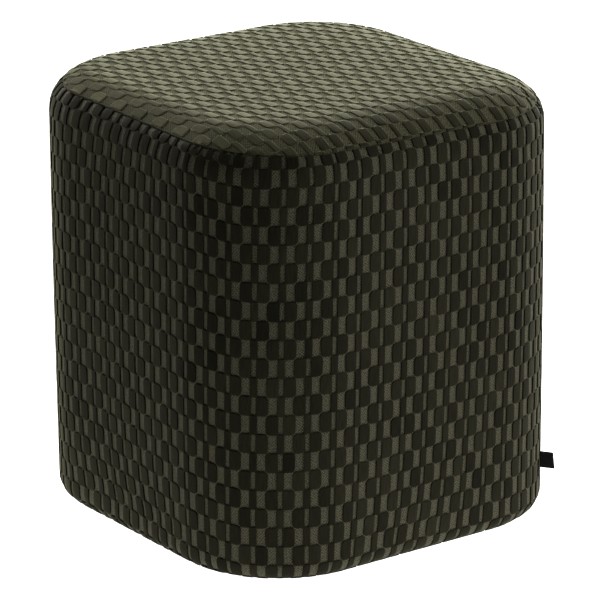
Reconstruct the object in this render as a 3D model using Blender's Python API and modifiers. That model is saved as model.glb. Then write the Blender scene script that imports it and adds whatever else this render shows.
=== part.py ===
"""Cube pouf stool: a firm upholstered cube with large rounded corners.

A strip of cut-pile cloth is stretched round the stuffing and closed by one upright seam. A square
panel of the same cloth is crowned over the top and rolled down to a seam just below the top edge,
a plain panel closes the underside, and a small folded label is sewn into the upright seam.

The frame: +Z up, the origin on the floor under the middle of the pouf, the front wall facing -Y.
All sizes are in metres. The solids reach out to the tips of the pile.
"""

import math

import bpy
import numpy as np

# Driving dimensions
WIDTH = 0.400  # wall to wall, both ways
HEIGHT = 0.420  # floor to the highest line of the top edge
CORNER_RADIUS = 0.1117  # upright corners, seen from above
TOP_ROUNDING = 0.0317
FOOT_ROUNDING = 0.018
TOP_CROWN = 0.001  # how far the middle of the top stands above its edge: it is nearly flat
WALL_SWELL = 0.0005  # how far the stuffing pushes a wall out at mid-height
LEAN = -0.0041  # the top sits this far along X from the foot, as the soft block settles

# Cloth
CLOTH = 0.002  # pile and backing together
GAP = 0.0003  # between neighbouring pieces
BASE_INSET = 0.026  # from the walls in to the edge of the base panel
BASE_EDGE = 0.0007  # rounding of the base panel's edge and of the band's turned-in foot

# The seam between the side band and the top panel, as a turn round the top rounding:
# 0 degrees where the wall ends and 90 where the flat top begins
SEAM_TURN = math.radians(47)
SEAM_TILT = math.radians(9)  # the seam climbs by this much at the left and drops at the right
# Cloth drawn in on each side of that seam: (distance from the seam, how deep the cloth is pulled)
SEAM_DRAW = ((0.0050, 0.0), (0.0025, 0.0005), (0.0009, 0.0014), (0.00015, 0.0020))

# The upright seam in the middle of the right-front corner: (distance from the seam, depth)
UPRIGHT_DRAW = ((0.0, 0.0020), (0.0012, 0.0009), (0.0026, 0.0))

# The folded label
LABEL_OUT = 0.0120  # how far it stands out of the seam
LABEL_ROOT = 0.0007  # how far it reaches into the seam
LABEL_TALL = 0.0160
LABEL_MIDDLE = 0.052  # height of its middle above the floor
LABEL_LAYER = 0.0007
LABEL_DROOP = 0.07  # fall for each metre outwards

# How finely the surfaces are divided
ARC_STEPS = 12  # along each upright corner
RUN_STEPS = 6  # along each straight wall
ROUND_STEPS = 5  # round the top and foot roundings
WALL_STEPS = 4  # up a wall
TOP_SCALES = (0.86, 0.68, 0.46, 0.22, 0.0)  # rings from the top edge in to the middle

COLOURS = {
    "velvet_side": (0.030, 0.029, 0.018),
    "velvet_top": (0.110, 0.108, 0.070),
    "base_cloth": (0.010, 0.010, 0.009),
    "label_black": (0.008, 0.008, 0.009),
}

CORE = WIDTH / 2 - CORNER_RADIUS  # half side of the square on which the corners turn
ARC = math.pi / 2 * CORNER_RADIUS
SIDE = ARC + 2 * CORE  # one corner and one straight wall
WALL_TOP = HEIGHT - TOP_ROUNDING


def outline_at(run):
    """Core points and outward normals at distances run along the outline.

    The distance starts in the middle of the left-front corner and goes anticlockwise seen from
    above, first along the front wall. A point of the wall lies at core + radius * normal.
    """
    along = np.mod(run + ARC / 2, 4 * SIDE)
    side = np.floor(along / SIDE)
    rest = along - side * SIDE
    turn = np.pi + np.pi / 2 * (side + np.minimum(rest / ARC, 1))
    normal = np.stack([np.cos(turn), np.sin(turn)], axis=-1)
    corner = np.pi * 1.25 + np.pi / 2 * side
    core = math.sqrt(2) * CORE * np.stack([np.cos(corner), np.sin(corner)], axis=-1)
    straight = np.maximum(rest - ARC, 0)[:, None]
    tangent = np.stack([-normal[:, 1], normal[:, 0]], axis=-1)
    return core + straight * tangent, normal


def stations():
    """Distances along the outline where every ring has a point, closer at the upright seam."""
    found = []
    for side in range(4):
        start = side * SIDE - ARC / 2
        found += [start + ARC * step / ARC_STEPS for step in range(ARC_STEPS)]
        found += [start + ARC + 2 * CORE * step / RUN_STEPS for step in range(RUN_STEPS)]
    for distance, _ in UPRIGHT_DRAW[1:]:
        found += [SIDE - distance, SIDE + distance]
    return np.array(sorted(found))


RUN = stations()
CORE_POINTS, NORMALS = outline_at(RUN)
SEAM = SEAM_TURN - SEAM_TILT * np.sin(2 * np.pi * RUN / (4 * SIDE))
UPRIGHT = np.interp(np.abs(RUN - SIDE), *np.array(UPRIGHT_DRAW).T)


def ring_at(inset, height, scale=1.0):
    """A ring at an inset from the walls and a height, leaning as the block does."""
    flat = scale * (CORE_POINTS + (CORNER_RADIUS - inset)[:, None] * NORMALS)
    return lean(np.column_stack([flat, height]))


def lean(points):
    moved = points.copy()
    moved[:, 0] += LEAN * (points[:, 2] / HEIGHT - 0.5)
    return moved


def same(value):
    """One value for every station."""
    return np.full(len(RUN), float(value))


def crowned(ring):
    """Lifts a ring of the top by the crown, which dies out where the top rounding begins."""
    share = np.clip(np.abs(ring[:, :2]) / (WIDTH / 2 - TOP_ROUNDING), 0, 1)
    lifted = ring.copy()
    lifted[:, 2] += TOP_CROWN * np.prod((1 - share**4) ** 2, axis=1)
    return lifted


def top_ring(turn, depth):
    """A ring of the top rounding, at a turn round it and a depth under the skin."""
    radius = TOP_ROUNDING - depth
    inset = TOP_ROUNDING - radius * np.cos(turn)
    return crowned(ring_at(inset, WALL_TOP + radius * np.sin(turn)))


def foot_ring(turn):
    """A ring of the foot rounding: 0 where the wall begins, a quarter turn where it meets the floor."""
    radius = FOOT_ROUNDING - UPRIGHT * math.cos(turn)
    inset = FOOT_ROUNDING - radius * math.cos(turn)
    return ring_at(inset, same(FOOT_ROUNDING * (1 - math.sin(turn))))


def wall_ring(share):
    """A ring of the walls, at a share of the way up them."""
    height = FOOT_ROUNDING + share * (WALL_TOP - FOOT_ROUNDING)
    return ring_at(UPRIGHT - WALL_SWELL * math.sin(math.pi * share), same(height))


def top_rings(depth):
    """The rings over the top inside the rounding, from its edge in to the one point in the middle."""
    edge = same(TOP_ROUNDING)
    rings = [crowned(ring_at(edge, same(HEIGHT - depth), scale)) for scale in TOP_SCALES]
    return rings[:-1] + [rings[-1][:1]]


def band_rings():
    """From the middle of the underside, round the foot, up the walls, and in under the top panel."""
    lip = BASE_INSET - GAP
    rings = [
        ring_at(same(lip), same(CLOTH + GAP), 0.0)[:1],
        ring_at(same(lip), same(CLOTH + GAP)),
        ring_at(same(lip), same(BASE_EDGE)),
        ring_at(same(lip - BASE_EDGE), same(0)),
    ]
    for step in range(ROUND_STEPS, 0, -1):
        rings.append(foot_ring(math.pi / 2 * step / ROUND_STEPS))
    rings += [wall_ring(step / WALL_STEPS) for step in range(WALL_STEPS + 1)]
    start_of_draw = SEAM - SEAM_DRAW[0][0] / TOP_ROUNDING
    rings += [top_ring(start_of_draw * share, UPRIGHT) for share in (1 / 3, 2 / 3)]
    for distance, draw in SEAM_DRAW:
        rings.append(top_ring(SEAM - distance / TOP_ROUNDING, np.maximum(draw, UPRIGHT)))
    under = CLOTH + GAP
    rings.append(top_ring(SEAM - SEAM_DRAW[-1][0] / TOP_ROUNDING, same(under + SEAM_DRAW[-1][1] + GAP)))
    for distance, draw in reversed(SEAM_DRAW):
        rings.append(top_ring(SEAM + (distance + GAP) / TOP_ROUNDING, same(under + draw + GAP)))
    end_of_draw = SEAM + SEAM_DRAW[0][0] / TOP_ROUNDING
    for share in (1 / 3, 2 / 3, 1):
        rings.append(top_ring(end_of_draw + (math.pi / 2 - end_of_draw) * share, same(under)))
    return rings + top_rings(under)


def panel_rings():
    """From the seam up round the top rounding and in to the middle of the top."""
    rings = [top_ring(SEAM + distance / TOP_ROUNDING, same(draw)) for distance, draw in reversed(SEAM_DRAW)]
    end_of_draw = SEAM + SEAM_DRAW[0][0] / TOP_ROUNDING
    for share in (1 / 3, 2 / 3, 1):
        rings.append(top_ring(end_of_draw + (math.pi / 2 - end_of_draw) * share, same(0)))
    return rings + top_rings(0)


def new_material(name, roughness):
    material = bpy.data.materials.new(name)
    material.use_nodes = True
    shader = material.node_tree.nodes["Principled BSDF"]
    shader.inputs["Base Color"].default_value = (*COLOURS[name], 1)
    shader.inputs["Metallic"].default_value = 0
    shader.inputs["Roughness"].default_value = roughness
    return material


def new_object(name, points, faces, material, sharp=40):
    mesh = bpy.data.meshes.new(name)
    mesh.from_pydata(points.tolist(), [], faces)
    mesh.materials.append(material)
    mesh.shade_smooth()
    mesh.set_sharp_from_angle(angle=math.radians(sharp))
    made = bpy.data.objects.new(name, mesh)
    bpy.data.collections["Cube pouf stool"].objects.link(made)
    return made


def loft(rings):
    """Points and faces of a skin over rings with matching points. A ring of one point closes its end."""
    count = len(RUN)
    faces = []
    low = 0
    for ring, following in zip(rings, rings[1:]):
        high = low + len(ring)
        for i in range(count):
            after = (i + 1) % count
            if len(ring) == 1:
                faces.append((low, high + after, high + i))
            elif len(following) == 1:
                faces.append((low + i, low + after, high))
            else:
                faces.append((low + i, low + after, high + after, high + i))
        low = high
    return np.concatenate(rings), faces


def give_thickness(made, thickness, offset):
    wall = made.modifiers.new("Cloth thickness", "SOLIDIFY")
    wall.thickness = thickness
    wall.offset = offset
    wall.use_even_offset = True


def add_side_band(material):
    points, faces = loft(band_rings())
    return new_object("stuffed_side_band", points, faces, material)


def add_top_panel(material):
    points, faces = loft(panel_rings())
    panel = new_object("top_panel", points, faces, material)
    give_thickness(panel, CLOTH, -1)
    return panel


def add_base_panel(material):
    """The flat sheet inside the band's turned-in foot."""
    rim = ring_at(same(BASE_INSET), same(0))
    panel = new_object("base_panel", rim, [list(range(len(rim)))], material)
    give_thickness(panel, CLOTH, 1)
    edge = panel.modifiers.new("Soft edge", "BEVEL")
    edge.width = BASE_EDGE
    edge.segments = 2
    edge.angle_limit = math.radians(60)
    return panel


def add_label(material):
    """A strip folded double: out of the seam, round its end and back, in two layers a little apart."""
    half = (LABEL_LAYER + GAP) / 2
    straight_end = LABEL_OUT - half - LABEL_LAYER / 2
    bend = np.linspace(-np.pi / 2, np.pi / 2, 7)
    out = np.concatenate([[-LABEL_ROOT], straight_end + half * np.cos(bend), [-LABEL_ROOT]])
    across = np.concatenate([[-half], half * np.sin(bend), [half]])
    core, normal = outline_at(np.array([SIDE]))
    tangent = np.array([-normal[0, 1], normal[0, 0]])
    flat = core + (CORNER_RADIUS + out)[:, None] * normal + across[:, None] * tangent
    rows = []
    for height in (LABEL_MIDDLE - LABEL_TALL / 2, LABEL_MIDDLE + LABEL_TALL / 2):
        rows.append(lean(np.column_stack([flat, height - LABEL_DROOP * out])))
    count = len(flat)
    faces = [[i, i + 1, count + i + 1, count + i] for i in range(count - 1)]
    label = new_object("side_label", np.concatenate(rows), faces, material, sharp=60)
    give_thickness(label, LABEL_LAYER, 0)
    return label


def main():
    for old in list(bpy.data.objects):
        bpy.data.objects.remove(old)
    collection = bpy.data.collections.new("Cube pouf stool")
    bpy.context.scene.collection.children.link(collection)
    add_side_band(new_material("velvet_side", 0.9))
    add_top_panel(new_material("velvet_top", 0.85))
    add_base_panel(new_material("base_cloth", 0.95))
    add_label(new_material("label_black", 0.6))


main()
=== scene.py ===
import math

import bpy
import numpy as np
from mathutils import Matrix, Vector


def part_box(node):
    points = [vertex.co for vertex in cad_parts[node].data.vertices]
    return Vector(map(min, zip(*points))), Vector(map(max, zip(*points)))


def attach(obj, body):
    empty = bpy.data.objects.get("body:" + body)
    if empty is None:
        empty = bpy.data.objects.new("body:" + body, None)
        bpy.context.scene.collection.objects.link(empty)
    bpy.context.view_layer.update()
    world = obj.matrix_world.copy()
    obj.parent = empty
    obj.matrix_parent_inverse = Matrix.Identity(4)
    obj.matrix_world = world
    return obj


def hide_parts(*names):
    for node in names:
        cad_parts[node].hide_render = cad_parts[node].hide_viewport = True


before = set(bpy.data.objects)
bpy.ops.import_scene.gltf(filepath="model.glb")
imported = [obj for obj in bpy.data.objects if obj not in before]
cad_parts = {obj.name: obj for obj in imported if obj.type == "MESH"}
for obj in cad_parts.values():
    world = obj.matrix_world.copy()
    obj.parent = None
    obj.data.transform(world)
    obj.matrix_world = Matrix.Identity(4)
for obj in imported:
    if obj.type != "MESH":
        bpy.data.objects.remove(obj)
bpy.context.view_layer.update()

mm = 0.001
bandLow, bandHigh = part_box("stuffed_side_band")
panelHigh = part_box("top_panel")[1]

# The block that the cloth is pulled over
block = {
    "cornerRadius": 111.7 * mm,  # upright corners, seen from above
    "topRounding": 31.7 * mm,
    "footRounding": 18 * mm,
    "solidCrown": 1 * mm,  # how far the CAD top panel's middle stands above its edge
    "topCrown": 8 * mm,  # the same on the cloth, which is flat in the middle
    "wallSwell": 0.5 * mm,
    "lean": -4.1 * mm,  # the top sits this far along X from the foot
    "baseInset": 26 * mm,  # from the walls in to the edge of the base panel
    "gap": 0.3 * mm,  # between neighbouring pieces
}
block["width"] = bandHigh.y - bandLow.y - 2 * block["wallSwell"]
block["height"] = panelHigh.z - block["solidCrown"]

# The seams: the top one as a turn round the top rounding, 0 degrees where the wall ends
seams = {
    "turn": math.radians(47),
    "tilt": math.radians(9),  # it climbs by this much at the left and drops at the right
    # cloth drawn in beside a seam: distance from the seam and depth, both in mm
    "panelDraw": {"distance": (0.0, 0.5, 1.2, 3.0), "depth": (1.3, 0.45, 0.15, 0.0)},
    "bandDraw": {"distance": (0.0, 0.6, 2.0, 5.0), "depth": (1.5, 0.9, 0.3, 0.0)},
    "uprightDraw": {"distance": (0.0, 1.2, 2.6), "depth": (1.6, 0.6, 0.0)},
    "hidden": 0.35,  # share of the draw that is left where the top seam hides between blocks of pile
    "closeAt": (0.6, 1.2, 1.9, 2.6),  # extra points of a ring on each side of the upright seam, in mm
    "closeClear": 3.2 * mm,  # and where its even points begin again
}

core = block["width"] / 2 - block["cornerRadius"]  # half side of the square the corners turn on
arc = math.pi / 2 * block["cornerRadius"]
side = arc + 2 * core  # one corner and one straight wall
girth = 4 * side
flatRadius = block["cornerRadius"] - block["topRounding"]  # from the core to where the top rolls over
footArc = math.pi / 2 * block["footRounding"]
wallTall = block["height"] - block["topRounding"] - block["footRounding"]
wallEnd = footArc + wallTall

# How the cover lies along the top seam: the seam stands proud as a soft ridge and puckers the side band
# on the left, and the top eases down to it from well inside. run and reach are in mm, the other columns
# are shares of the sizes below.
edge = {
    "columns": ("run", "ridge", "ease", "reach", "rim", "pucker"),
    "rows": (
        (-1060, 0.4, 0.6, 50, 0.6, 0.5),
        (-400, 0.8, 1.0, 42, 0.9, 1.0),
        (-200, 1.0, 1.0, 42, 1.0, 1.0),
        (-60, 0.9, 1.0, 50, 0.9, 0.7),
        (0, 0.3, 1.0, 76, 0.3, 0.3),
        (40, 0.0, 1.0, 80, 0.0, 0.2),
        (100, 0.0, 1.0, 70, 0.0, 0.2),
        (300, 0.0, 1.0, 69, 0.0, 0.2),
        (360, 0.2, 0.8, 62, 0.6, 0.5),
    ),
    "ridgeHigh": 2.2 * mm,
    "ridgeReach": 9 * mm,
    "easePower": 3,
    "plainReach": 28 * mm,  # how wide the crown's bell curve falls where it doesn't ease down
    "rimHigh": 0.9 * mm,  # the panel's folded edge, bare of pile
    "rimWide": 1.5 * mm,
    "rimLeast": 0.15,  # share of that width which stays bare where the rim hides
    "puckerDeep": 0.7 * mm,
    "puckerStep": 13 * mm,
    "puckerReach": 13 * mm,
    "puckerWander": 2.2,  # how far their phase wanders, over a spell of this length
    "puckerSpell": 17 * mm,
    "puckerSlant": 0.9,
    "puckerLow": -0.2,  # the wave is cut off here, which keeps the cloth between two folds nearly flat
}


def edgeShare(run, column):
    # A column of the table, linear between its rows. run is first brought to where the table counts
    # from, with the upright seam at both of its ends.
    table = np.array(edge["rows"]).T
    along = (np.mod(run - side, girth) - 3 * side) / mm
    return np.interp(along, table[0], table[edge["columns"].index(column)])


def ridgeAt(run, distance):
    # A soft ridge over the seam, an exponential of the distance from it.
    return edge["ridgeHigh"] * edgeShare(run, "ridge") * np.exp(-np.abs(distance) / edge["ridgeReach"])


def outlineAt(run):
    # The square with corner arcs, seen from above: run is the distance along it, anticlockwise from
    # the middle of the left-front corner. A wall point lies at core point + radius x normal.
    along = np.mod(run + arc / 2, girth)
    wall = np.floor(along / side)
    rest = along - wall * side
    turn = math.pi + math.pi / 2 * (wall + np.minimum(rest / arc, 1))
    normal = np.stack([np.cos(turn), np.sin(turn)], axis=-1)
    tangent = np.stack([-normal[..., 1], normal[..., 0]], axis=-1)
    corner = 1.25 * math.pi + math.pi / 2 * wall
    middle = math.sqrt(2) * core * np.stack([np.cos(corner), np.sin(corner)], axis=-1)
    return middle + np.maximum(rest - arc, 0)[..., None] * tangent, normal


def settled(points):
    # The lean grows evenly with height.
    moved = points.copy()
    moved[..., 0] += block["lean"] * (points[..., 2] / block["height"] - 0.5)
    return moved


def wallSkin(run, rise, sink):
    # A point of the side band: rise is the distance up the cloth from the floor, over the foot
    # rounding, the wall and the top rounding, and sink is the depth under the tips of the pile.
    run, rise, sink = np.broadcast_arrays(run, rise, sink)
    foot = np.clip(1 - rise / footArc, 0, 1) * math.pi / 2
    top = np.clip((rise - wallEnd) / block["topRounding"], 0, math.pi / 2)
    share = np.clip((rise - footArc) / wallTall, 0, 1)
    inset = np.maximum(-rise, 0) + block["footRounding"] * (1 - np.cos(foot))
    inset += block["topRounding"] * (1 - np.cos(top)) + sink * np.cos(foot) * np.cos(top)
    inset -= block["wallSwell"] * np.sin(math.pi * share)
    height = block["footRounding"] * (1 - np.sin(foot)) + np.clip(rise - footArc, 0, wallTall)
    height += block["topRounding"] * np.sin(top) + sink * (np.sin(foot) - np.sin(top))
    middle, normal = outlineAt(run)
    flat = middle + (block["cornerRadius"] - inset)[..., None] * normal
    return settled(np.concatenate([flat, height[..., None]], axis=-1))


def seamTurn(run):
    # The top seam's turn round the top rounding: it climbs and drops in one sine wave round the block.
    return seams["turn"] - seams["tilt"] * np.sin(2 * math.pi * run / girth)


def seamRise(run):
    # The same as a distance up the cloth.
    return wallEnd + block["topRounding"] * seamTurn(run)


def drawnIn(distance, draw):
    # How deep a seam pulls the cloth in, linear between the steps of its draw.
    return mm * np.interp(np.abs(distance) / mm, draw["distance"], draw["depth"])


def seamDepth(run):
    # The top seam is pulled in the most where its rim shows, and hides between blocks of pile elsewhere.
    return seams["hidden"] + (1 - seams["hidden"]) * edgeShare(run, "rim")


def fromUpright(run):
    # The distance along the wall from the upright seam, negative before it.
    return np.mod(run + side, girth) - girth / 2


def bandSink(run, rise):
    # How deep the side band's cloth lies under the plain block: the deeper of the two seams' draws,
    # plus the puckers, less the ridge.
    below = seamRise(run) - rise
    beside = drawnIn(below, seams["bandDraw"]) * seamDepth(run)
    drawn = np.maximum(beside, drawnIn(fromUpright(run), seams["uprightDraw"]))
    return drawn + puckerAt(run, below) - ridgeAt(run, below)


def puckerAt(run, below):
    # Small upright folds under the seam: the square of a sine wave along it, whose phase wanders and
    # slants, times an exponential of the distance below the seam.
    phase = 2 * math.pi * run / edge["puckerStep"]
    phase = phase + edge["puckerWander"] * np.sin(run / edge["puckerSpell"])
    phase = phase + edge["puckerSlant"] * below / edge["puckerReach"]
    fold = np.clip(np.sin(phase), edge["puckerLow"], 1) ** 2
    fade = np.exp(-np.abs(below) / edge["puckerReach"])
    return edge["puckerDeep"] * edgeShare(run, "pucker") * fold * fade


def panelSpot(x, y):
    # For a place on the flat top cloth: the nearest point of the core square, the outward normal,
    # the distance from the core, and the run of the outline that it faces, which is the way round the
    # core plus the corner radius times the angle turned.
    spot = np.stack([x, y], axis=-1)
    nearest = np.clip(spot, -core, core)
    away = spot - nearest
    distance = np.linalg.norm(away, axis=-1)
    normal = away / np.maximum(distance, 1e-9)[..., None]
    turn = np.arctan2(away[..., 1], away[..., 0])
    turn = np.where(turn < 0, turn + 2 * math.pi, turn)
    turn = np.where(turn < math.pi - 1e-6, turn + 2 * math.pi, turn)
    cx, cy = nearest[..., 0], nearest[..., 1]
    path = np.select(
        [away[..., 1] < 0, away[..., 1] > 0, away[..., 0] > 0],
        [cx + core, 5 * core - cx, 3 * core + cy],
        -(cy + core),
    )
    return nearest, normal, distance, path - arc / 2 + block["cornerRadius"] * (turn - math.pi)


def panelReach(run):
    # The distance on the flat top cloth from the core to the seam: its flat part and its rolled part.
    return flatRadius + block["topRounding"] * (math.pi / 2 - seamTurn(run))


def crownAt(run, distance, turn):
    # How high the top stands over the plain rounded block. Where it eases down, its fall below the
    # middle is a power of the distance left to where it is level; elsewhere the crown is a bell curve.
    rounding, crown = block["topRounding"], block["topCrown"]
    inset = block["cornerRadius"] - np.minimum(distance, flatRadius) - rounding * np.sin(turn)
    last = math.pi / 2 - seamTurn(run)
    seamInset, seamFall = rounding * (1 - np.sin(last)), rounding * (1 - np.cos(last))
    left = np.clip(1 - (inset - seamInset) / (edgeShare(run, "reach") * mm), 0, 1)
    eased = crown - (crown + seamFall) * left ** edge["easePower"] + rounding * (1 - np.cos(turn))
    spread = np.maximum(flatRadius - distance, 0) / edge["plainReach"]
    bell = crown * (1 - np.exp(-(spread**2)))
    share = edgeShare(run, "ease")
    return share * eased + (1 - share) * bell


def panelSkin(x, y, sink, rim=0.0):
    # A point of the top panel: flat inside, and past the rounding's start the cloth's distance from
    # the core becomes a turn round the top rounding, down to the seam, or for the pile to the
    # bare rim before it.
    x, y, sink = np.broadcast_arrays(x, y, sink)
    nearest, normal, distance, run = panelSpot(x, y)
    reach = panelReach(run)
    last = reach - flatRadius - rim * (edge["rimLeast"] + edgeShare(run, "rim"))
    beyond = np.clip(distance - flatRadius, 0, last)
    draw = drawnIn(reach - flatRadius - beyond, seams["panelDraw"]) * seamDepth(run)
    sink = sink + np.where(distance > flatRadius, draw, 0) - ridgeAt(run, reach - distance)
    turn = beyond / block["topRounding"]
    radius = block["topRounding"] - sink
    out = np.minimum(distance, flatRadius) + radius * np.sin(turn)
    height = block["height"] - block["topRounding"] + radius * np.cos(turn) + crownAt(run, distance, turn)
    return settled(np.concatenate([nearest + out[..., None] * normal, height[..., None]], axis=-1))


def gridFaces(rows, columns, wrap=False, start=0):
    # Quads of a grid of points, row after row, with columns running anticlockwise seen from outside.
    across = np.arange(columns if wrap else columns - 1)
    row, column = np.meshgrid(np.arange(rows - 1) * columns, across, indexing="ij")
    after = (column + 1) % columns
    above = row + columns
    quads = np.stack([row + column, row + after, above + after, above + column], axis=-1)
    return quads.reshape(-1, 4) + start


def fanFaces(ring, hub, inward=False):
    # Triangles from a closed ring of points to one hub.
    after = np.roll(ring, -1)
    fan = np.stack([ring, after, np.full(len(ring), hub)], axis=-1)
    return fan[:, ::-1] if inward else fan


def newPiece(name, points, faces, material, cloth=None, attributes=None):
    # faces is a list of arrays of corner numbers. cloth gives each point its place on the flat cloth
    # in metres, which the weave and the nap follow.
    mesh = bpy.data.meshes.new(name)
    corners = np.concatenate([part.reshape(-1) for part in faces]).astype(np.int32)
    sizes = np.concatenate([np.full(len(part), part.shape[1]) for part in faces])
    mesh.vertices.add(len(points))
    mesh.vertices.foreach_set("co", np.asarray(points, np.float32).reshape(-1))
    mesh.loops.add(len(corners))
    mesh.loops.foreach_set("vertex_index", corners)
    mesh.polygons.add(len(sizes))
    starts = np.concatenate([[0], np.cumsum(sizes)[:-1]]).astype(np.int32)
    mesh.polygons.foreach_set("loop_start", starts)
    mesh.update(calc_edges=True)
    if cloth is not None:
        layer = mesh.uv_layers.new(name="cloth")
        layer.uv.foreach_set("vector", np.asarray(cloth, np.float32)[corners].reshape(-1))
    for key, values in (attributes or {}).items():
        layer = mesh.attributes.new(key, "FLOAT", "POINT")
        layer.data.foreach_set("value", np.asarray(values, np.float32))
    mesh.validate()
    mesh.shade_smooth()
    mesh.materials.append(material)
    piece = bpy.data.objects.new(name, mesh)
    bpy.context.scene.collection.objects.link(piece)
    return piece


def newLoft(name, rings, cloth, material, middle=0.0):
    # A closed skin over rings of points, with a hub at x = middle in the first and in the last ring.
    low, high = ([[middle, 0, ring[0, 2]]] for ring in (rings[0], rings[-1]))
    points = np.concatenate([low, *rings, high])
    flat = np.concatenate([[[0, 0]], *cloth, [[0, 0]]])
    index = np.arange(len(rings[0]))
    faces = [
        gridFaces(len(rings), len(index), wrap=True, start=1),
        fanFaces(1 + index, 0, inward=True),
        fanFaces(1 + (len(rings) - 1) * len(index) + index, len(points) - 1),
    ]
    return newPiece(name, points, faces, material, flat, {"toneAndPaintedLight": np.ones(len(points))})


def colourOf(hexText):
    # sRGB hex to the linear numbers that the shaders work in
    parts = np.array([int(hexText[i:i + 2], 16) for i in (1, 3, 5)]) / 255
    linear = np.where(parts <= 0.04045, parts / 12.92, ((parts + 0.055) / 1.055) ** 2.4)
    return (*linear.tolist(), 1)


def addNode(tree, kind, inputs=None, **settings):
    # A shader node with its settings. An input is a number, or the output of another node.
    node = tree.nodes.new(kind)
    for key, value in settings.items():
        setattr(node, key, value)
    for key, value in (inputs or {}).items():
        if isinstance(value, bpy.types.NodeSocket):
            tree.links.new(value, node.inputs[key])
        else:
            node.inputs[key].default_value = value
    return node


def crossedThreads(tree, cloth, period, wander, detail):
    # Two sets of threads at right angles, as the product of two waves. Blender's wave texture repeats
    # every tau / 20 of its scaled coordinate.
    waves = [
        addNode(
            tree, "ShaderNodeTexWave",
            {"Vector": cloth, "Scale": math.tau / (20 * period), "Distortion": wander, "Detail": detail},
            bands_direction=way,
        ).outputs["Fac"]
        for way in ("X", "Y")
    ]
    return addNode(tree, "ShaderNodeMath", {0: waves[0], 1: waves[1]}, operation="MULTIPLY").outputs[0]


def newMaterial(name):
    # An empty material and its node tree
    material = bpy.data.materials.new(name)
    material.use_nodes = True
    tree = material.node_tree
    tree.nodes.clear()
    return material, tree


# The same cut-pile velvet is looked at along its nap on the top and across it on the walls. Its pile
# stands in upright rows, the wales. The top copy's lighter tip and root and stronger sheen are painted
# light, for light from behind that soaks through the fibres; the side copy's near-black root is painted
# shade deep in the pile.
velvet = {
    "side": {"tip": "#252419", "root": "#080704", "sheen": "#777557"},
    "top": {"tip": "#333223", "root": "#57553f", "sheen": "#c4c4a3"},
    "sheenWeight": 1.0,
    "sheenRoughness": 0.3,
    "roughness": 0.95,
    "specular": 0.1,
    "rootLevel": 0.55,  # below this share of the pile's height the colour is all root
    "napScale": 9.0,  # patches to a metre where the nap lies a little differently
    "wale": 1.7 * mm,  # real wales are 0.9 mm apart, drawn coarser so that they show
    "waleLong": 14 * mm,
    "streak": 1.1,  # how strongly the wales change the tone, and what is added to that
    "streakBase": -0.05,
    "bump": 0.6,
    "bumpDeep": 0.5 * mm,
}

backing = {
    # the dark and the light of its threads, and its sheen, which shows on the top at a grazing angle. The
    # top copy's lighter threads and its sheen, which the side copy lacks, are painted light on the same
    # twill
    "side": {"dark": "#191811", "light": "#74715a", "sheenWeight": 0.0, "specular": 0.25},
    "top": {"dark": "#292819", "light": "#7d7b60", "sheenWeight": 0.25, "specular": 0.05},
    "sheen": "#bdbd9a",
    "sheenRoughness": 0.35,
    "rib": 2.1 * mm,  # real ribs of the twill stand 0.8 mm apart, drawn coarser so that they show
    "ribWander": 1.2,
    "ribShare": 0.4,
    "fleck": 1.3 * mm,  # and so are the flecks where threads cross
    "darkest": 0.32,  # where the mix of ribs and flecks is all dark thread, and where all light
    "lightest": 0.92,
    "turn": math.radians(38),
    "roughness": 0.85,
    "bump": 0.5,
    "bumpDeep": 0.3 * mm,
}


def finishCloth(tree, colour, relief, look):
    # What all the cloths share: a matt face with a little relief, and the sheen that its fibres give it
    bump = addNode(
        tree, "ShaderNodeBump", {"Height": relief, "Strength": look["bump"], "Distance": look["bumpDeep"]}
    )
    shader = addNode(
        tree, "ShaderNodeBsdfPrincipled",
        {
            "Base Color": colour,
            "Roughness": look["roughness"],
            "Specular IOR Level": look["specular"],
            "Sheen Weight": look["sheenWeight"],
            "Sheen Roughness": look["sheenRoughness"],
            "Sheen Tint": colourOf(look["sheen"]),
            "Normal": bump.outputs["Normal"],
        },
    )
    addNode(tree, "ShaderNodeOutputMaterial", {"Surface": shader.outputs["BSDF"]})


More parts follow.
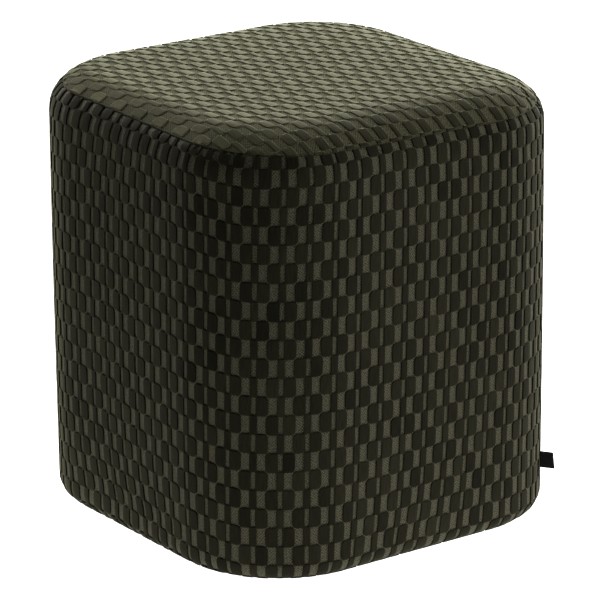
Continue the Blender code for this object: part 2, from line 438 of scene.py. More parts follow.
def pileVelvet(name, look):
    # Cut-pile velvet: upright fibres swallow light looked at face on and shine at a grazing angle
    material, tree = newMaterial(name)
    level = addNode(tree, "ShaderNodeAttribute", attribute_name="pileLevel").outputs["Fac"]
    toneAndPaintedLight = addNode(tree, "ShaderNodeAttribute", attribute_name="toneAndPaintedLight").outputs["Fac"]
    cloth = addNode(tree, "ShaderNodeUVMap", uv_map="cloth").outputs["UV"]
    nap = addNode(tree, "ShaderNodeTexNoise", {"Vector": cloth, "Scale": look["napScale"], "Detail": 3.0})
    wales = addNode(
        tree, "ShaderNodeMapping", {"Vector": cloth, "Scale": (1 / look["wale"], 1 / look["waleLong"], 1.0)}
    ).outputs["Vector"]
    fibre = addNode(
        tree, "ShaderNodeTexNoise", {"Vector": wales, "Scale": 1.0, "Detail": 2.0}
    ).outputs["Fac"]
    # The colour runs from root to tip up the pile: painted shade toward the roots on the walls, painted
    # light there on the top
    blend = addNode(
        tree, "ShaderNodeMapRange", {"Value": level, "From Min": look["rootLevel"], "From Max": 1.0}
    )
    base = addNode(
        tree, "ShaderNodeMix",
        {0: blend.outputs["Result"], 6: colourOf(look["root"]), 7: colourOf(look["tip"])}, data_type="RGBA",
    )
    shade = addNode(
        tree, "ShaderNodeMath",
        {0: fibre, 1: look["streak"], 2: look["streakBase"]}, operation="MULTIPLY_ADD",
    )
    shade = addNode(tree, "ShaderNodeMath", {0: shade.outputs[0], 1: nap.outputs["Fac"]}, operation="ADD")
    # times a random factor for each block, and on the top the painted light of the left slope
    shade = addNode(tree, "ShaderNodeMath", {0: shade.outputs[0], 1: toneAndPaintedLight}, operation="MULTIPLY")
    coloured = addNode(
        tree, "ShaderNodeVectorMath", {0: base.outputs[2], 3: shade.outputs[0]}, operation="SCALE"
    )
    finishCloth(tree, coloured.outputs["Vector"], fibre, look)
    return material


def wovenBacking(name, look):
    # The flat woven ground between the blocks of pile: a fine twill, matt and speckled, so that it
    # looks lighter than the pile from the side
    material, tree = newMaterial(name)
    cloth = addNode(tree, "ShaderNodeUVMap", uv_map="cloth").outputs["UV"]
    toneAndPaintedLight = addNode(tree, "ShaderNodeAttribute", attribute_name="toneAndPaintedLight").outputs["Fac"]
    turned = addNode(
        tree, "ShaderNodeMapping", {"Vector": cloth, "Rotation": (0, 0, look["turn"])}
    ).outputs["Vector"]
    ribs = crossedThreads(tree, turned, look["rib"], look["ribWander"], 1.0)
    fleck = addNode(
        tree, "ShaderNodeTexNoise", {"Vector": turned, "Scale": 1 / look["fleck"], "Detail": 1.0}
    ).outputs["Fac"]
    weave = addNode(
        tree, "ShaderNodeMath", {0: ribs, 1: look["ribShare"], 2: fleck}, operation="MULTIPLY_ADD"
    ).outputs[0]
    spread = addNode(
        tree, "ShaderNodeMapRange",
        {"Value": weave, "From Min": look["darkest"], "From Max": look["lightest"]},
    )
    base = addNode(
        tree, "ShaderNodeMix",
        {0: spread.outputs["Result"], 6: colourOf(look["dark"]), 7: colourOf(look["light"])},
        data_type="RGBA",
    )
    # on the top this factor is the painted shade of the ground; on the walls it is one
    toned = addNode(tree, "ShaderNodeVectorMath", {0: base.outputs[2], 3: toneAndPaintedLight}, operation="SCALE")
    finishCloth(tree, toned.outputs["Vector"], weave, look)
    return material


# The repeat of the side cloth and of the top cloth, in a pair of blocks and a bar by turns. The top
# cloth is stretched less, its pile stands lower and its columns slant.
sideRepeat = {
    "blockWide": 11.7 * mm,  # one block of the pair
    "slitWide": 4.3 * mm,  # the ground between the two blocks
    "barWide": 7.1 * mm,
    "blockTall": 19.4 * mm,
    "columnStep": 25.4 * mm,  # from a pair of blocks to the next bar
    "rowStep": 18.3 * mm,
    "outerRound": 4.0 * mm,
    "innerRound": 0.8 * mm,
    "pile": 1.3 * mm,
    "pressed": 0.6,  # share of the pile's height that is pressed flat round the foot
    "pressedAt": 4 * mm,
    "pressedWide": 7 * mm,
    "place": (-1.96 * mm, 393.8 * mm),  # the middle of one pair, as run and height
    "rows": (-1, 25),  # counted down from that pair
    "columns": (-43, 16),
    "seed": 11,
    "uprightClear": 0.6 * mm,  # how far the pile stays from the upright seam, the top seam and the base
    "topClear": 0.5 * mm,
    "baseClear": 1.5 * mm,
    "sliver": 2 * mm,  # a block that shows less than this is left out
    "lowest": -6 * mm,  # and so is one that ends further in under the foot than this
}

topRepeat = {
    "blockWide": 9.8 * mm,
    "slitWide": 5.9 * mm,
    "barWide": 5.3 * mm,
    "blockTall": 18.0 * mm,
    "columnStep": 24.6 * mm,
    "rowStep": 17.06 * mm,
    "outerRound": 3.6 * mm,
    "innerRound": 0.8 * mm,
    "pile": 1.0 * mm,
    "place": (-42.6 * mm, -12.3 * mm),  # the middle of one pair, as x and y
    "turn": math.radians(-2.0),
    "slant": -0.0275,  # x gained for each y
    "slopeLightLift": 2.4,  # painted light: how much lighter the pile is painted at the left seam, on the slope that faces left
    "paintedSlopeReach": 24 * mm,
    "slopeGroundShade": 0.45,  # painted shade: how much darker the ground is painted there, deep between the blocks
    "seamShade": 0.5,  # and the painted shade beside the seam where it has no rim
    "seamReach": 3 * mm,
    "rows": (-15, 16),
    "columns": (-10, 13),
    "seed": 12,
    "sliver": 2.5 * mm,
}

# How a block of pile is rounded off: root, tip and flat are measured in from its outline, and
# shoulder, dome and crest down from the tips
tuft = {
    "root": 0.35 * mm, "tip": 0.35 * mm, "flat": 1.0 * mm,
    "shoulder": 0.3 * mm, "buried": 0.25 * mm, "dome": 0.08 * mm, "crest": 0.02 * mm,
    "shoulderLevel": 0.75,  # share of the pile's height
    "leastRound": 0.1 * mm,
    "turns": (0, 35, 65, 90),  # the points round a corner, in degrees
    "toneSpread": 0.16,  # how much the blocks differ in tone
}

# How far the side cloth wanders from an even repeat, read off the photo, all in mm. run is the
# place along the wall. shift moves the columns and climb the rows; easing and settle do the same at the
# top seam, flare and dip at the foot, and fade away from there.
drift = {
    "columns": ("run", "shift", "climb", "easing", "settle", "flare", "dip"),
    "rows": (
        (-420, 0.0, 0.0, 0.0, 0.0, 0.0, 0.0),
        (-220, 1.0, 7.5, 9.0, -3.0, 6.5, 2.5),
        (-180, -2.0, 6.0, 8.5, -1.5, 7.0, 3.0),
        (-140, -2.0, 5.5, 6.5, -0.5, 6.0, 2.5),
        (-100, 1.0, 6.0, 0.5, -1.5, 2.5, 0.5),
        (-60, 2.5, 5.0, -1.5, -2.0, 1.5, 0.0),
        (-20, -0.5, 1.0, 0.5, -3.0, 0.5, -0.5),
        (20, -0.5, 1.0, 1.0, -3.0, 0.5, -0.5),
        (60, -1.0, 1.5, 1.5, -2.5, 0.5, -1.0),
        (100, 0.5, -0.5, 0.0, -1.0, -2.0, -0.5),
        (140, 3.0, -2.0, -2.0, 1.0, -3.5, 0.5),
        (180, 3.5, -2.5, -2.6, 0.0, -4.5, 1.0),
        (220, 3.0, -2.0, -2.6, -1.5, -3.5, 0.0),
        (260, -0.5, -1.0, -0.8, -3.0, -1.0, -1.0),
        (300, -3.5, 0.0, -2.5, -5.0, 1.0, -2.0),
    ),
    "lean": 0.0206,  # columns lean this far along for each metre up
    "leanMiddle": 240 * mm,
    "seamHeight": 385 * mm,
    "easingFade": 35 * mm,
    "settleFade": 60 * mm,
    "footHeight": 50 * mm,  # where flare and dip have the size given, and they stop growing at half of it
    "footFade": 40 * mm,
}


def blockTemplate(wide, look, outer, inner, flip):
    # One block of pile in cloth coordinates, rounded at the outer corners. Rings of the same outline,
    # each inset by more, are the root, shoulder, tip and flat of the tuft, and a middle line closes it.
    # The flat ring keeps the top of the block level, so that only its rim is rounded.
    turn = np.radians(np.array(tuft["turns"]))

    def ringAt(inset):
        tall = look["blockTall"] / 2 - inset
        outerNow, innerNow = (max(radius - inset, tuft["leastRound"]) for radius in (outer, inner))
        high = tall - outerNow * (1 - np.cos(turn))
        line = np.concatenate([-high, [0], high[::-1]])

        def bay(radius):
            over = np.clip((np.abs(line) - (tall - radius)) / radius, 0, 1)
            return radius * (1 - np.sqrt(1 - over**2))

        outside, inside = wide - inset - bay(outerNow), inset + bay(innerNow)
        return np.concatenate([np.stack([outside, line], 1), np.stack([inside, line], 1)[::-1]])

    rings = [ringAt(tuft["root"]), ringAt(0.0), ringAt(tuft["tip"]), ringAt(tuft["flat"])]
    around = len(rings[0])
    count = around // 2
    middle = (rings[3][:count] + rings[3][count:][::-1]) / 2
    flat = np.concatenate([*rings, middle])
    depths = (look["pile"] + tuft["buried"], tuft["shoulder"], tuft["dome"], tuft["crest"])
    depth = np.concatenate([np.repeat(depths, around), np.zeros(count)])
    level = np.concatenate([np.repeat((0.0, tuft["shoulderLevel"], 1.0, 1.0), around), np.ones(count)])
    walls = gridFaces(4, around, wrap=True)
    out = 3 * around + np.arange(count)
    back = 3 * around + np.arange(2 * count - 1, count - 1, -1)
    centre = 4 * around + np.arange(count)
    cap = np.concatenate([
        np.stack([centre[:-1], out[:-1], out[1:], centre[1:]], 1),
        np.stack([back[:-1], centre[:-1], centre[1:], back[1:]], 1),
    ])
    ends = np.array([[back[0], out[0], centre[0]], [out[-1], back[-1], centre[-1]]])
    under = np.arange(around)[::-1][None, :]
    quads = np.concatenate([walls, cap])
    if flip:
        flat = flat * (-1, 1)
        quads, ends, under = quads[:, ::-1], ends[:, ::-1], under[:, ::-1]
    return {"flat": flat, "depth": depth, "level": level, "faces": [quads, ends, under]}


def copies(template, places, rng):
    # Cloth coordinates, depths, levels and faces of one template set at many places.
    count = len(template["flat"])
    flat = places[:, None, :] + template["flat"][None]
    number = np.arange(len(places))[:, None, None] * count
    faces = [(part[None] + number).reshape(-1, part.shape[1]) for part in template["faces"]]
    return {
        "flat": flat,
        "depth": np.broadcast_to(template["depth"], flat.shape[:2]),
        "level": np.tile(template["level"], len(places)),
        "toneAndPaintedLight": np.repeat(rng.normal(1, tuft["toneSpread"], len(places)), count),
        "faces": faces,
    }


def joined(name, parts, surface, material):
    # surface turns cloth coordinates and depths into points; parts are stacked into one mesh.
    points, cloth, levels, tonesAndPaintedLight, faces = [], [], [], [], []
    start = 0
    for part in parts:
        made = surface(part["flat"][..., 0], part["flat"][..., 1], part["depth"])
        points.append(made.reshape(-1, 3))
        cloth.append(part["flat"].reshape(-1, 2))
        levels.append(part["level"])
        tonesAndPaintedLight.append(part["toneAndPaintedLight"])
        faces += [face + start for face in part["faces"]]
        start += len(points[-1])
    return newPiece(
        name, np.concatenate(points), faces, material, np.concatenate(cloth),
        {"pileLevel": np.concatenate(levels), "toneAndPaintedLight": np.concatenate(tonesAndPaintedLight)},
    )


def driftAt(run, height):
    # Both moves are sums of the table's columns, times exponentials of the distance from seam and foot.
    table = np.array(drift["rows"]).T * mm
    shift, climb, easing, settle, flare, dip = (np.interp(run, table[0], column) for column in table[1:])
    below = np.maximum(drift["seamHeight"] - height, 0)
    foot = np.exp((drift["footHeight"] - np.maximum(height, drift["footHeight"] / 2)) / drift["footFade"])
    lean = drift["lean"] * (height - drift["leanMiddle"])
    along = shift + lean + easing * np.exp(-below / drift["easingFade"]) + flare * foot
    return along, climb + settle * np.exp(-below / drift["settleFade"]) + dip * foot


def onSide(place, height):
    # From the side cloth's own coordinates to run and rise. height counts up the wall as if it were
    # flat, so it differs from rise by the foot's extra cloth.
    shift, climb = driftAt(place, height)
    return place + shift, height + climb + footArc - block["footRounding"]


def sideSurface(place, height, depth):
    # A point of the side pile, kept clear of the seams and of the band's turned-in edge.
    run, rise = onSide(place, height)
    run = np.clip(run, side - girth + sideRepeat["uprightClear"], side - sideRepeat["uprightClear"])
    low = block["footRounding"] - block["baseInset"] + sideRepeat["baseClear"]
    rise = np.clip(rise, low, seamRise(run) - sideRepeat["topClear"])
    return wallSkin(run, rise, depth + bandSink(run, rise))


def onTop(x, y):
    # From the top cloth's own coordinates to the frame: the columns slant, then all is turned.
    turn = topRepeat["turn"]
    along = x + topRepeat["slant"] * y
    return along * math.cos(turn) - y * math.sin(turn), along * math.sin(turn) + y * math.cos(turn)


def topSurface(x, y, depth):
    # A point of the top pile, which ends at the bare rim.
    return panelSkin(*onTop(x, y), depth, rim=edge["rimWide"])


def lattice(look):
    # Places of a repeat: pairs of blocks where row + column is even, bars where it is odd.
    row, column = np.meshgrid(np.arange(*look["rows"]), np.arange(*look["columns"]), indexing="ij")
    steps = np.stack([column * look["columnStep"], -row * look["rowStep"]], axis=-1)
    return look["place"] + steps, (row + column) % 2 == 0


def keptSide(places, half):
    # Blocks that lie, for more than a sliver, on the cloth between its edges.
    run, rise = onSide(places[:, 0], places[:, 1])
    sliver, tall = sideRepeat["sliver"], sideRepeat["rowStep"] / 2
    inRun = (run + half > side - girth + sliver) & (run - half < side - sliver)
    inRise = (rise - tall < seamRise(run) - sliver) & (rise + tall > sideRepeat["lowest"])
    return places[inRun & inRise]


def keptTop(places, half):
    # Blocks that reach in from the seam by more than a sliver.
    _, normal, distance, run = panelSpot(*onTop(places[:, 0], places[:, 1]))
    spread = np.abs(normal[:, 0]) * half + np.abs(normal[:, 1]) * topRepeat["rowStep"] / 2
    return places[distance - spread < panelReach(run) - topRepeat["sliver"]]


def pileParts(look, kept):
    # Both mirrored blocks of every pair, then the bars, each moved from its lattice place.
    rng = np.random.default_rng(look["seed"])
    places, even = lattice(look)
    wide, bar, outer, inner = look["blockWide"], look["barWide"], look["outerRound"], look["innerRound"]
    blocks = []
    for way in (1, -1):
        template = blockTemplate(wide, look, outer, inner, way < 0)
        middle = (way * (look["slitWide"] + wide) / 2, 0)
        found = kept(places[even] + middle, wide / 2) - middle
        blocks.append(copies(template, found + (way * look["slitWide"] / 2, 0), rng))
    single = blockTemplate(bar, look, inner, inner, False)
    bars = copies(single, kept(places[~even], bar / 2) - (bar / 2, 0), rng)
    return *blocks, bars


def addSidePile(material):
    # Three pieces: the right and the left block of every pair, and the bars.
    names = ("side_pile_right_blocks", "side_pile_left_blocks", "side_pile_bars")
    parts = pileParts(sideRepeat, keptSide)
    return [joined(name, [part], sideSurface, material) for name, part in zip(names, parts)]


def leftSlope(x, y):
    # How much of the slope that faces left there is at a place on the flat top cloth: how far the edge
    # faces that way, times an exponential of the distance from the seam. That distance and run follow.
    _, normal, distance, run = panelSpot(x, y)
    away = np.maximum(panelReach(run) - distance, 0)
    return np.maximum(-normal[..., 0], 0) * np.exp(-away / topRepeat["paintedSlopeReach"]), away, run


def paintedSlopeLight(x, y):
    # Painted light: the pile is made lighter with the left slope.
    return 1 + topRepeat["slopeLightLift"] * leftSlope(*onTop(x, y))[0]


def paintedGroundShade(x, y):
    # Painted shade: the ground is made darker with the left slope, and by an exponential beside the seam.
    left, away, run = leftSlope(x, y)
    # painted shade in the seam's crease
    creaseShade = topRepeat["seamShade"] * (1 - edgeShare(run, "rim")) * np.exp(-away / topRepeat["seamReach"])
    return (1 - topRepeat["slopeGroundShade"] * left) * (1 - creaseShade)


def addTopPile(material):
    # One piece, each point made lighter by the painted light of the left slope.
    parts = pileParts(topRepeat, keptTop)
    for part in parts:
        part["toneAndPaintedLight"] = part["toneAndPaintedLight"] * paintedSlopeLight(part["flat"][..., 0], part["flat"][..., 1]).reshape(-1)
    return joined("top_pile", parts, topSurface, material)


def stations(step):
    # Distances along the outline for a ring of points, closer together at the upright seam.
    even = np.linspace(side - girth, side, int(girth / step), endpoint=False)
    even = even[np.abs(fromUpright(even)) > seams["closeClear"]]
    close = np.array(seams["closeAt"]) * mm
    return np.sort(np.concatenate([even, side - close, side - girth + close, [side - girth]]))


def groundSink(rise):
    # How deep the ground lies under the tips: the pile's height, less a bell curve round the foot.
    spread = (rise - sideRepeat["pressedAt"]) / sideRepeat["pressedWide"]
    return sideRepeat["pile"] * (1 - sideRepeat["pressed"] * np.exp(-(spread**2)))


sideGround = {
    "step": 5 * mm,  # between the points of a ring
    "underRings": 3,
    "footRings": 9,
    "wallRings": 64,
    "roundRings": 5,
    "lipAt": (5.0, 3.7, 2.5, 1.6, 0.9, 0.15),  # the last rings below the top seam, in mm
    "under": 1.3 * mm,  # how deep it passes under the top panel
    "tuckDeep": (2.4, 1.9),  # it dips in past the seam: two rings, their extra depth and way on, in mm
    "tuckOn": (0.0, 2.0),
    "hiddenScales": (0.7, 0.35),  # rings under the top panel
}


def addSideGround(material):
    # One filled loft: from the middle of the underside out to the foot, up the wall to the top seam,
    # then in under the top panel to the middle again.
    run = stations(sideGround["step"])
    rings, cloth = [], []

    def ring(rise, sink, place=None):
        rings.append(wallSkin(run, rise, sink))
        cloth.append(np.stack([run, np.broadcast_to(rise if place is None else place, run.shape)], 1))

    turned = block["baseInset"] - block["gap"] - block["footRounding"]
    for rise in np.concatenate([
        np.linspace(-turned, 0, sideGround["underRings"]),
        np.linspace(0, footArc, sideGround["footRings"])[1:],
        np.linspace(footArc, wallEnd, sideGround["wallRings"])[1:],
    ]):
        ring(rise, groundSink(rise) + bandSink(run, rise))
    top = seamRise(run)
    lip = top - sideGround["lipAt"][0] * mm
    rises = [wallEnd + (lip - wallEnd) * share for share in np.linspace(0, 1, sideGround["roundRings"])[1:]]
    for rise in rises + [top - below * mm for below in sideGround["lipAt"][1:]]:
        ring(rise, sideRepeat["pile"] + bandSink(run, rise))
    under = sideRepeat["pile"] + sideGround["under"]
    ledge = np.maximum(top, wallEnd)
    for deep, on in zip(sideGround["tuckDeep"], sideGround["tuckOn"]):
        ring(ledge + on * mm, under + deep * mm, ledge)
    flatRise = wallEnd + math.pi / 2 * block["topRounding"]
    for share in (0.5, 1.0):
        ring(ledge + (flatRise - ledge) * share, under, ledge)
    rim = rings[-1]
    for scale in sideGround["hiddenScales"]:
        rings.append(rim * (scale, scale, 1))
        cloth.append(cloth[-1])
    return newLoft("side_band", rings, cloth, material)


topGround = {
    "step": 5 * mm,
    "thick": 0.7 * mm,
    "lipAt": (0.1, 0.45, 1.1, 1.7, 2.6, 3.7, 5.0),  # the first rings in from the seam, in mm
    "lipRim": (0.0, 1.0, 0.85, 0.0, 0.0, 0.0, 0.0),  # and their share of the rim's height
    "slopeShares": (0.75, 0.5, 0.25, 0.0),
    "flatRings": 25,
    "smallest": 0.04,  # the innermost ring's scale
    "rimSwing": 0.3,  # the rim's height swings by this share in waves whose phase wanders
    "rimWave": 5.3 * mm,
    "rimWander": 2,
    "rimSpell": 19 * mm,
}


def addTopGround(material):
    # A sheet with two faces: the outer one from the seam up and in to the middle, then the inner one
    # back out. Its rings are offsets of the rounded square, shrinking to the middle.
    run = stations(topGround["step"])
    middle, normal = outlineAt(run)
    reach = panelReach(run) - flatRadius
    lip = topGround["lipAt"][-1] * mm
    phase = run / topGround["rimWave"] + topGround["rimWander"] * np.sin(run / topGround["rimSpell"])
    wave = 1 - topGround["rimSwing"] * (1 - np.sin(phase))
    rim = edge["rimHigh"] * edgeShare(run, "rim") * wave

    def ringAt(beyond, sink, scale=1.0):
        spot = scale * (middle + (flatRadius + beyond)[:, None] * normal)
        return panelSkin(spot[:, 0], spot[:, 1], sink), spot

    def half(sink):
        made = [
            ringAt(reach - inward * mm, sink - share * rim)
            for inward, share in zip(topGround["lipAt"], topGround["lipRim"])
        ]
        made += [ringAt((reach - lip) * share, sink) for share in topGround["slopeShares"]]
        scales = np.linspace(1, topGround["smallest"], topGround["flatRings"])[1:]
        return made + [ringAt(np.zeros(len(run)), sink, scale) for scale in scales]

    ground = topRepeat["pile"]
    depths = np.array([ground, ground + topGround["thick"]])
    outer, inner = half(depths[0]), half(depths[1])[::-1]
    hubs = panelSkin(np.zeros(2), np.zeros(2), depths)
    points = np.concatenate([ring for ring, _ in outer + inner] + [hubs])
    flat = np.concatenate([spot for _, spot in outer + inner] + [np.zeros((2, 2))])
    rows, count = len(outer), len(run)
    index = np.arange(count)
    after = np.roll(index, -1)
    lastRow = (2 * rows - 1) * count
    faces = [
        gridFaces(rows, count, wrap=True),
        gridFaces(rows, count, wrap=True, start=rows * count),
        np.stack([lastRow + index, lastRow + after, after, index], 1),
        fanFaces((rows - 1) * count + index, 2 * rows * count),
        fanFaces(rows * count + index, 2 * rows * count + 1, inward=True),
    ]
    # painted shade of the top's ground
    toneAndPaintedLight = paintedGroundShade(flat[:, 0], flat[:, 1])
    return newPiece("top_cloth", points, faces, material, flat, {"toneAndPaintedLight": toneAndPaintedLight})


plain = {
    "wander": 0.4,  # how unevenly the threads lie
    "sheenWeight": 0.0, "sheenRoughness": 0.5, "sheen": "#ffffff",
    "roughness": 0.9, "specular": 0.2, "bump": 0.4, "bumpDeep": 0.2 * mm,
}


def plainCloth(name, look):
    # Plain woven cloth: two sets of threads crossing, matt and nearly black
    material, tree = newMaterial(name)
    cloth = addNode(tree, "ShaderNodeUVMap", uv_map="cloth").outputs["UV"]
    weave = crossedThreads(tree, cloth, 2 * look["thread"], look["wander"], 2.0)
    base = addNode(
        tree, "ShaderNodeMix",
        {0: weave, 6: colourOf(look["dark"]), 7: colourOf(look["light"])}, data_type="RGBA",
    )
    finishCloth(tree, base.outputs[2], weave, look)
    return material


basePanel = {
    "step": 8 * mm,
    "thick": 1.4 * mm, "rolled": 0.6 * mm, "clear": 0.05 * mm,
    "lowScales": (0.05, 0.96, 14),  # first, last and number of the rings below
    "edgePoints": 6,
    "highScales": (0.96, 0.6, 0.2),
    "dark": "#1b1b19",
    "light": "#2b2b28",
    "thread": 0.8 * mm,
}


def addBasePanel(material):
    # A flat sheet with a rounded edge: rings of the rounded square out along its lower face, round the
    # edge by a turn from below to above, and in again.
    run = stations(basePanel["step"])
    corner, normal = outlineAt(run)
    radius = block["cornerRadius"] - block["baseInset"]
    rolled, thick, clear = basePanel["rolled"], basePanel["thick"], basePanel["clear"]
    middle = -block["lean"] / 2
    rings, cloth = [], []

    def ring(scale, reach, height):
        flat = scale * (corner + reach * normal)
        rings.append(np.column_stack([flat[:, 0] + middle, flat[:, 1], np.full(len(run), height)]))
        cloth.append(flat)

    for scale in np.linspace(*basePanel["lowScales"]):
        ring(scale, radius, clear)
    for turn in np.linspace(-math.pi / 2, math.pi / 2, basePanel["edgePoints"]):
        hub = clear + (rolled if turn < 0 else thick - rolled)
        ring(1.0, radius - rolled + rolled * math.cos(turn), hub + rolled * math.sin(turn))
    for scale in basePanel["highScales"]:
        ring(scale, radius, clear + thick)
    return newLoft("underside_cloth", rings, cloth, material, middle)


label = {
    "out": 13.6 * mm, "root": 0.7 * mm, "tall": 16.2 * mm, "middle": 49.5 * mm, "layer": 0.7 * mm,
    "droop": 0.07,  # its far end hangs by this share of its length
    "slant": 0.1,  # and it is cut this much longer at its lower edge, for each metre down
    "points": 9,  # of the fold's bend, and of its height
    "dark": "#0d0d0e",
    "light": "#1c1c1e",
    "thread": 0.6 * mm,
}


def addLabel(material):
    # A tape folded double: its cross-section is a closed hairpin of two layers, carried up the label.
    half = (label["layer"] + block["gap"]) / 2
    straight = label["out"] - half - label["layer"] / 2
    bend = np.linspace(-math.pi / 2, math.pi / 2, label["points"])
    lead = np.linspace(-label["root"], straight, label["points"])[:-1]

    def hairpin(offset):
        radius = half + offset
        out = np.concatenate([lead, straight + radius * np.cos(bend), lead[::-1]])
        level = np.full(len(lead), radius)
        return out, np.concatenate([-level, radius * np.sin(bend), level])

    outerOut, outerAcross = hairpin(label["layer"] / 2)
    innerOut, innerAcross = hairpin(-label["layer"] / 2)
    out = np.concatenate([outerOut, innerOut[::-1]])
    across = np.concatenate([outerAcross, innerAcross[::-1]])
    centre, normal = outlineAt(np.array([side]))
    tangent = np.array([-normal[0, 1], normal[0, 0]])
    heights = np.linspace(-0.5, 0.5, label["points"]) * label["tall"]
    rings = []
    for height in heights:
        reach = out * (1 - label["slant"] * height / label["out"])
        flat = centre + (block["cornerRadius"] + reach)[:, None] * normal + across[:, None] * tangent
        rings.append(np.column_stack([flat, label["middle"] + height - label["droop"] * out]))
    points = settled(np.concatenate(rings))
    count = len(out)
    length = np.concatenate([[0], np.cumsum(np.hypot(np.diff(out), np.diff(across)))])
    cloth = np.concatenate([np.stack([length, np.full(count, height)], 1) for height in heights])
    step = np.arange(count // 2 - 1)
    low = np.stack([step, step + 1, count - 2 - step, count - 1 - step], 1)
    high = (low + (len(heights) - 1) * count)[:, ::-1]
    faces = [gridFaces(len(heights), count, wrap=True), low[:, ::-1], high[:, ::-1]]
    return newPiece("folded_label", points, faces, material, cloth)


# Where the camera stands and the lights hang: azimuth and elevation in degrees, the rest in metres
camera = {
    "azimuth": -36.2085, "elevation": 18.4232, "distance": 3.9062, "aimHeight": 0.21,
    "right": 5.3 * mm, "up": -12.0 * mm, "lens": 241.24, "sensor": 36,
}


def towards(azimuth, elevation):
    # The direction from the pouf to a camera or a light: azimuth 0 is in front of it, 90 on its right.
    azimuth, elevation = math.radians(azimuth), math.radians(elevation)
    level = math.cos(elevation)
    return Vector((math.sin(azimuth) * level, -math.cos(azimuth) * level, math.sin(elevation)))


def addCamera():
    # It looks at a point above the floor, which is moved along its own right and up to fit the frame.
    back = towards(camera["azimuth"], camera["elevation"])
    right = Vector((0, 0, 1)).cross(back).normalized()
    up = back.cross(right)
    data = bpy.data.cameras.new("camera")
    data.lens = camera["lens"]
    data.sensor_width = camera["sensor"]
    made = bpy.data.objects.new("camera", data)
    bpy.context.scene.collection.objects.link(made)
    aim = Vector((0, 0, camera["aimHeight"])) + right * camera["right"] + up * camera["up"]
    turned = Matrix((right, up, back)).transposed().to_4x4()
    made.matrix_world = Matrix.Translation(aim + back * camera["distance"]) @ turned
    bpy.context.scene.camera = made


studio = {
    "world": 0.04,  # what the dim room gives to the cloth
    "backdrop": 1.1,  # what shows past the far edge of the floor
    "floor": "#e2e2df",
    "floorWide": 16.0,
    "floorDrop": 0.2 * mm,  # how far it lies under the pouf
    "floorRoughness": 0.9,
    "glow": 1.2,  # the floor is a light table, brightest under the pouf
    "glowReach": 0.45,
    "farGlow": 0.5,  # added where the floor is looked at directly, so that it stays pale far out
    "aimHeight": 0.2,
    "lights": {
        "corner_softbox": {"azimuth": 120, "elevation": 12, "away": 3.6, "size": (2.1, 1.0), "power": 102},
        "right_softbox": {"azimuth": 90, "elevation": 12, "away": 3.6, "size": (2.1, 1.0), "power": 74},
        "rear_softbox": {"azimuth": 184, "elevation": 30, "away": 3.0, "size": (1.7, 1.5), "power": 98},
        "front_softbox": {"azimuth": 38, "elevation": 30, "away": 2.4, "size": (1.4, 1.2), "power": 24},
        "left_softbox": {"azimuth": 280, "elevation": 25, "away": 2.4, "size": (1.4, 1.2), "power": 1},
    },
}


def paleFloor():
    # White acrylic over lamps: its glow falls off as a bell curve of the distance from the pouf
    material, tree = newMaterial("pale studio floor")
    place = addNode(tree, "ShaderNodeTexCoord").outputs["Object"]
    far = addNode(tree, "ShaderNodeVectorMath", {0: place}, operation="LENGTH").outputs["Value"]
    share = addNode(tree, "ShaderNodeMath", {0: far, 1: studio["glowReach"]}, operation="DIVIDE").outputs[0]
    squared = addNode(tree, "ShaderNodeMath", {0: share, 1: 2.0}, operation="POWER").outputs[0]
    fall = addNode(tree, "ShaderNodeMath", {0: math.exp(-1), 1: squared}, operation="POWER").outputs[0]
    glow = addNode(tree, "ShaderNodeMath", {0: fall, 1: studio["glow"]}, operation="MULTIPLY").outputs[0]
    seen = addNode(tree, "ShaderNodeLightPath").outputs["Is Camera Ray"]
    glow = addNode(
        tree, "ShaderNodeMath", {0: seen, 1: studio["farGlow"], 2: glow}, operation="MULTIPLY_ADD"
    ).outputs[0]
    shader = addNode(
        tree, "ShaderNodeBsdfPrincipled",
        {
            "Base Color": colourOf(studio["floor"]),
            "Roughness": studio["floorRoughness"],
            "Emission Color": (1, 1, 1, 1),
            "Emission Strength": glow,
        },
    )
    addNode(tree, "ShaderNodeOutputMaterial", {"Surface": shader.outputs["BSDF"]})
    return material


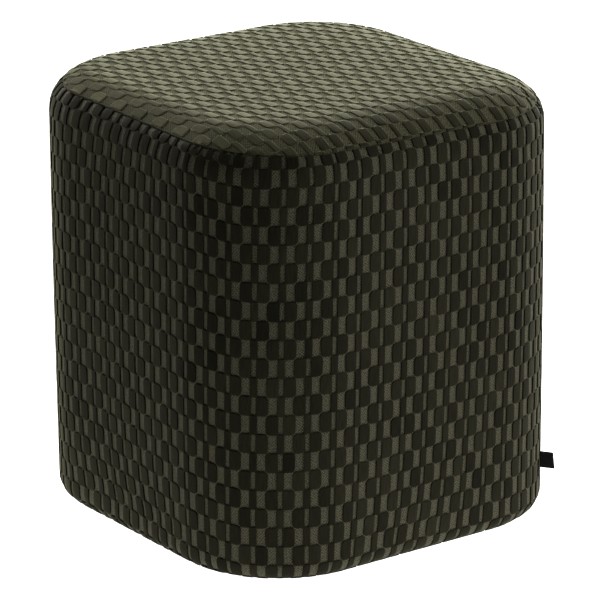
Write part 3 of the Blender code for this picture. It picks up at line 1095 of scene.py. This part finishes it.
def addRoom():
    # The dim room, the lights round the pouf, and the pale floor that it stands on
    world = bpy.data.worlds.new("studio")
    bpy.context.scene.world = world
    world.use_nodes = True
    tree = world.node_tree
    tree.nodes.clear()
    seen = addNode(tree, "ShaderNodeLightPath").outputs["Is Camera Ray"]
    strength = addNode(
        tree, "ShaderNodeMapRange", {"Value": seen, "To Min": studio["world"], "To Max": studio["backdrop"]}
    )
    glow = addNode(
        tree, "ShaderNodeBackground", {"Strength": strength.outputs["Result"], "Color": (1, 1, 1, 1)}
    )
    addNode(tree, "ShaderNodeOutputWorld", {"Surface": glow.outputs["Background"]})
    bpy.context.scene.view_settings.view_transform = "Standard"
    for name, look in studio["lights"].items():
        back = towards(look["azimuth"], look["elevation"])
        data = bpy.data.lights.new(name, "AREA")
        data.shape = "RECTANGLE"
        data.size, data.size_y = look["size"]
        data.energy = look["power"]
        lamp = bpy.data.objects.new(name, data)
        bpy.context.scene.collection.objects.link(lamp)
        place = Vector((0, 0, studio["aimHeight"])) + back * look["away"]
        lamp.matrix_world = Matrix.Translation(place) @ back.to_track_quat("Z", "Y").to_matrix().to_4x4()
    half, low = studio["floorWide"] / 2, -studio["floorDrop"]
    corners = np.array([[-half, -half, low], [half, -half, low], [half, half, low], [-half, half, low]])
    newPiece("studio_floor", corners, [np.array([[0, 1, 2, 3]])], paleFloor())


print("materials")
sideVelvet = pileVelvet("side cut-pile velvet", {**velvet, **velvet["side"]})
topVelvet = pileVelvet("top cut-pile velvet", {**velvet, **velvet["top"]})
sideBacking = wovenBacking("side twill ground", {**backing, **backing["side"]})
topBacking = wovenBacking("top twill ground", {**backing, **backing["top"]})
underCloth = plainCloth("plain woven lining cloth", {**plain, **basePanel})
tapeCloth = plainCloth("black woven tape", {**plain, **label})

print("side band")
sideBand = addSideGround(sideBacking)
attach(sideBand, "root")
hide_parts("stuffed_side_band")

print("side pile")
for pile in addSidePile(sideVelvet):
    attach(pile, "root")

print("top panel")
topPile = addTopPile(topVelvet)
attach(topPile, "root")
topCloth = addTopGround(topBacking)
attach(topCloth, "root")
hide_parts("top_panel")

print("underside and label")
underside = addBasePanel(underCloth)
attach(underside, "root")
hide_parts("base_panel")
tab = addLabel(tapeCloth)
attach(tab, "root")
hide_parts("side_label")

print("room")
addRoom()
addCamera()
